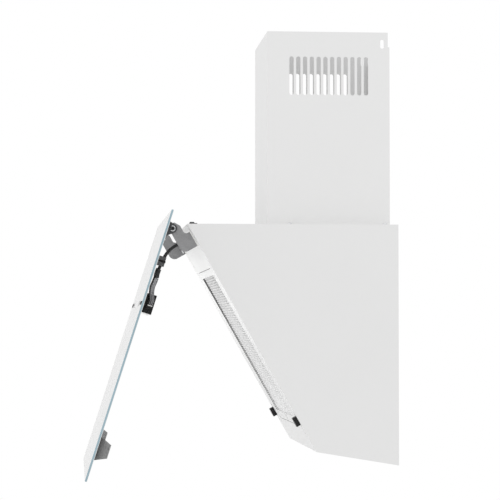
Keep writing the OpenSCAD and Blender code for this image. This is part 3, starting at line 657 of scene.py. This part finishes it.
def side_rails():
    """The slotted rails that clamp the mesh layers along both side walls of the filter."""
    wide, wall, slot_half, slot_deep, slot_end = 12.0, 0.35, 1.1, 0.15, 1.5
    low, high = MESH_FACE + 0.02, MESH_FACE + wall
    rail_top, slot_top = -0.2, -0.3
    top, foot = OPENING_TOP + 0.1, OPENING_FOOT - 0.1
    count = int((OPENING_FOOT - OPENING_TOP) / SLOT_PITCH)
    rails, slots = Solid(), Solid()
    for side in (-1, 1):
        outer, bend, lip, mark, inner = (
            side * (OPENING_HALF - d) for d in (0.02, wall, wall + slot_deep, wide - slot_end, wide))
        rails.box((outer, top, low), (inner, foot, high))
        rails.box((outer, top, high), (bend, foot, rail_top))
        for k in range(count):
            y = OPENING_TOP + SLOT_PITCH * (k + 0.5)
            slots.box((bend, y - slot_half, high), (mark, y + slot_half, high + slot_deep))
            slots.box((bend, y - slot_half, high + slot_deep), (lip, y + slot_half, slot_top))
    # The rails and slots take materials painted darker towards the top, as painted shade.
    for name, solid, material in (("filter_side_rails", rails, "rail_shade"),
                                  ("filter_side_slots", slots, "slot_shade")):
        piece = solid.piece(name, material, FRONT)
        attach(piece, "body")


def gap_shade_outline(grow):
    """The filter's outline, square at its top and rounded at its foot."""
    half, foot, radius, steps = FILTER_HALF + grow, FILTER_FOOT + grow, 15.0 + grow, 10
    foot_arcs = rounded_rectangle(-half, half, 0, foot, radius, steps)[:2 * (steps + 1)]
    return [(half, FILTER_TOP - grow)] + foot_arcs + [(-half, FILTER_TOP - grow)]


def filter_gap_shade():
    """Painted shade: a black band lining the edge of the filter opening, standing for the shadow in the
    gap round the filter.
    """
    outer, inner, front, back = 0.96, 0.04, -0.05, -2.6
    corners = ((outer, front), (inner, front), (inner, back), (outer, back))
    loops = [(gap_shade_outline(grow), level) for grow, level in corners]
    count = len(loops[0][0])
    gap_shade_band = Solid()
    faces = []
    for k in range(4):
        a, b = k * count, (k + 1) % 4 * count
        faces += [(a + i, a + (i + 1) % count, b + (i + 1) % count, b + i) for i in range(count)]
    gap_shade_band.add([(x, y, level) for loop, level in loops for x, y in loop], faces)
    # Painted shade: the band takes the black rubber material.
    piece = gap_shade_band.piece("filter_gap_shade", "rubber", FRONT)
    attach(piece, "body")


# ---------------------------------------------------------------- cable and wires
CABLE_X, CABLE_R = 100.0, 3.1
GROMMET_X, GROMMET_DOWN = CABLE_X + 8, 26.0
CLIP_DOWN, CLIP_DEEP, CLIP_SLOPE = 81.5, 13.75, 0.1435
CLIP_RUN = 10
BOOT_DOWN, BOOT_DEEP, BOOT_LONG, BOOT_R = 96.0, 11.9, 17, 5.2
WIRE_R = 1.25
WIRES = [((0.0, -2.7), "wire"), ((1.2, 0.0), "wire"), ((0.0, 2.7), "wire"),
         ((-1.6, -4.8), "black_wire"), ((1.7, -4.8), "black_wire")]


def control_cable():
    """The braided sleeve from the grommet over the hinge gap to the glass."""
    grommet = FRONT.at(GROMMET_X, GROMMET_DOWN, 6)
    held = GLASS.at(CABLE_X, CLIP_DOWN - CLIP_RUN, -CLIP_DEEP - CLIP_RUN * CLIP_SLOPE)
    route = smooth_route([
        FRONT.at(GROMMET_X, GROMMET_DOWN, -6), grommet,
        FRONT.at(CABLE_X + 7, GROMMET_DOWN - 1, 17), FRONT.at(CABLE_X + 4, GROMMET_DOWN - 4, 27),
        GLASS.at(CABLE_X, 56, -21.1), GLASS.at(CABLE_X, 64, -17.3), held,
        GLASS.at(CABLE_X, CLIP_DOWN, -CLIP_DEEP),
        GLASS.at(CABLE_X, CLIP_DOWN + CLIP_RUN, -CLIP_DEEP + CLIP_RUN * CLIP_SLOPE),
        GLASS.at(CABLE_X, BOOT_DOWN, -BOOT_DEEP),
    ], 14)
    strands, lay, relief = 6, 1.3, 0.035

    def woven(step, turn):
        over = math.sin(strands * turn + lay * step) * math.sin(strands * turn - lay * step)
        return CABLE_R * (1 - relief + relief * over)

    sleeve = tube("control_cable_sleeve", route, woven, 36, "braid")
    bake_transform(sleeve)
    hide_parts("control_cable")


def cable_boot():
    """Tape wound round the end of the sleeve, over the roots of the wires."""
    route = smooth_route([
        GLASS.at(CABLE_X, BOOT_DOWN, -BOOT_DEEP), GLASS.at(CABLE_X, BOOT_DOWN + 3, -11.4),
        GLASS.at(CABLE_X, BOOT_DOWN + 10, -11.2), GLASS.at(CABLE_X, BOOT_DOWN + BOOT_LONG, -12.2),
    ], 14)
    last = len(route) - 1
    turn_steps, rounded_steps = 6, 2

    def wound(step, turn):
        lap = (step / turn_steps + turn / (2 * math.pi)) % 1.0
        ends = 0.12 * max(0, rounded_steps - step) + 0.1 * max(0, step - last + rounded_steps)
        return BOOT_R * (0.955 + 0.04 * lap - ends)

    boot = tube("cable_boot_tape", route, wound, 40, "tape")
    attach(boot, "glass_front")
    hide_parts("cable_boot")


def control_wires():
    """Three grey wires and two black ones, side by side from the tape to the connector."""
    route = [(0, BOOT_DOWN + BOOT_LONG, 13), (0, 120, 12.6), (-1, 131, 11.7), (-2, 143, 14),
             (-3, 153, 17.2), (-4, 159, 17.4), (-4, 163, 17)]
    for k, ((dx, dy), colour) in enumerate(WIRES):
        points = [GLASS.at(CABLE_X + x + dx, down, -deep - dy) for x, down, deep in route]
        piece = tube(f"control_wire_{k + 1}", smooth_route(points, 8), WIRE_R, 14, colour)
        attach(piece, "glass_front")
        if k == 0:
            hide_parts("control_wires")


def connector_lip():
    """The pale latch lip round the mouth of the control connector."""
    lip = Solid()
    left, right, near, far, top, foot = 90.0, 99.6, -21.2, -12.4, 163.0, 164.8
    wall, latch_half = 1.2, 0.6
    lip.box((left, top, near), (right, foot, near + wall))
    lip.box((left, top, far - wall), (right, foot, far))
    lip.box((right - latch_half, top, near), (right + latch_half, foot, far))
    piece = lip.piece("connector_lip", "white_plastic", GLASS)
    soften(piece, 0.25)
    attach(piece, "glass_front")


def clip_tie():
    """A tie drawn round the cable clip, with its head on the near side."""
    left, right, open_end = CABLE_X - 6.6, CABLE_X + 6.6, -2.5
    top, foot, back = CLIP_DOWN - 1.6, CLIP_DOWN + 1.6, -CLIP_DEEP - CABLE_R - 2.6
    strap, loop, head_over = 0.8, 0.7, 0.6
    tie = Solid()
    for x in (left, right - strap):
        tie.box((x, top, back), (x + strap, foot, open_end))
    tie.box((left, top, back), (right, foot, back + loop))
    tie.box((right - 0.5, top - head_over, back + 1.6), (right + 2.7, foot + head_over, back + 6))
    piece = tie.piece("clip_tie", "black_plastic", GLASS)
    soften(piece, 0.25)
    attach(piece, "glass_front")


# ---------------------------------------------------------------- scene
def aim_at(viewer, place, ahead):
    """Puts a camera or a lamp at a place and turns it to face along ahead."""
    viewer.location = place
    viewer.rotation_mode = "QUATERNION"
    viewer.rotation_quaternion = ahead.to_track_quat("-Z", "Y")


def studio():
    world = bpy.data.worlds.new("studio")
    bpy.context.scene.world = world
    world.use_nodes = True
    sky = world.node_tree.nodes["Background"]
    sky.inputs["Color"].default_value = (1, 1, 1, 1)
    sky.inputs["Strength"].default_value = 1.0
    bpy.context.scene.view_settings.view_transform = "Standard"


def front_fill():
    """A soft light in the gap behind the open glass. It lights only the front of the body."""
    data = bpy.data.lights.new("front_fill", "AREA")
    data.shape = "RECTANGLE"
    data.size, data.size_y = 0.5, 0.18
    data.energy = 0.19
    lamp = bpy.data.objects.new("front_fill", data)
    bpy.context.scene.collection.objects.link(lamp)
    place = GLASS.at(0, 165, -46)
    aim_at(lamp, place, FRONT.at(0, 150, 0) - place)
    lamp.visible_camera = False
    lamp.visible_glossy = False
    lit = bpy.data.collections.new("front_side")
    for name in ("front_panel", "filter_frame", "filter_strands", "filter_backing", "filter_side_rails",
                 "filter_side_slots", "filter_gap_shade", "filter_latch", "hinge_spacers",
                 "hinge_bracket_right", "hinge_bracket_left"):
        lit.objects.link(NODES[name] if name in NODES else bpy.data.objects[name])
    lamp.light_linking.receiver_collection = lit


def floor():
    """A pale disc well below the hood, which hangs on a wall."""
    top, radius, sides, colour = -2.4, 9.0, 96, (0.9, 0.9, 0.9)
    ring = [(x, y, top) for x, y in circle(0, 0, radius, sides)]
    material, shader = new_material("pale_floor", colour, 0.8)
    vary_colour(material, shader, noise(material, 3), colour, 0.985, 1.0)
    MAT["floor"] = material
    disc = mesh_object("floor", ring, [tuple(range(sides))], "floor")


def camera():
    """The eye stands far off on the right, a little below the middle, and looks almost straight across."""
    data = bpy.data.cameras.new("camera")
    data.lens = 143.8
    data.sensor_width = 36.0
    eye = bpy.data.objects.new("camera", data)
    bpy.context.scene.collection.objects.link(eye)
    yaw, pitch = 0.0863, 0.0384
    level = Vector((-math.cos(yaw), math.sin(yaw), 0))
    aim_at(eye, (3.691, -0.562, -0.1194), level * math.cos(pitch) + Vector((0, 0, math.sin(pitch))))
    bpy.context.scene.camera = eye


camera()
studio()
floor()
dress_cad_nodes()
tint_strike_plates()
tint_hinge_screws()
tint_chimney()
tint_control_box()
glass_slab()
glass_back_paint()
touch_marks()
expanded_mesh()
mesh_backing()
side_rails()
filter_gap_shade()
control_cable()
cable_boot()
control_wires()
connector_lip()
clip_tie()
front_fill()
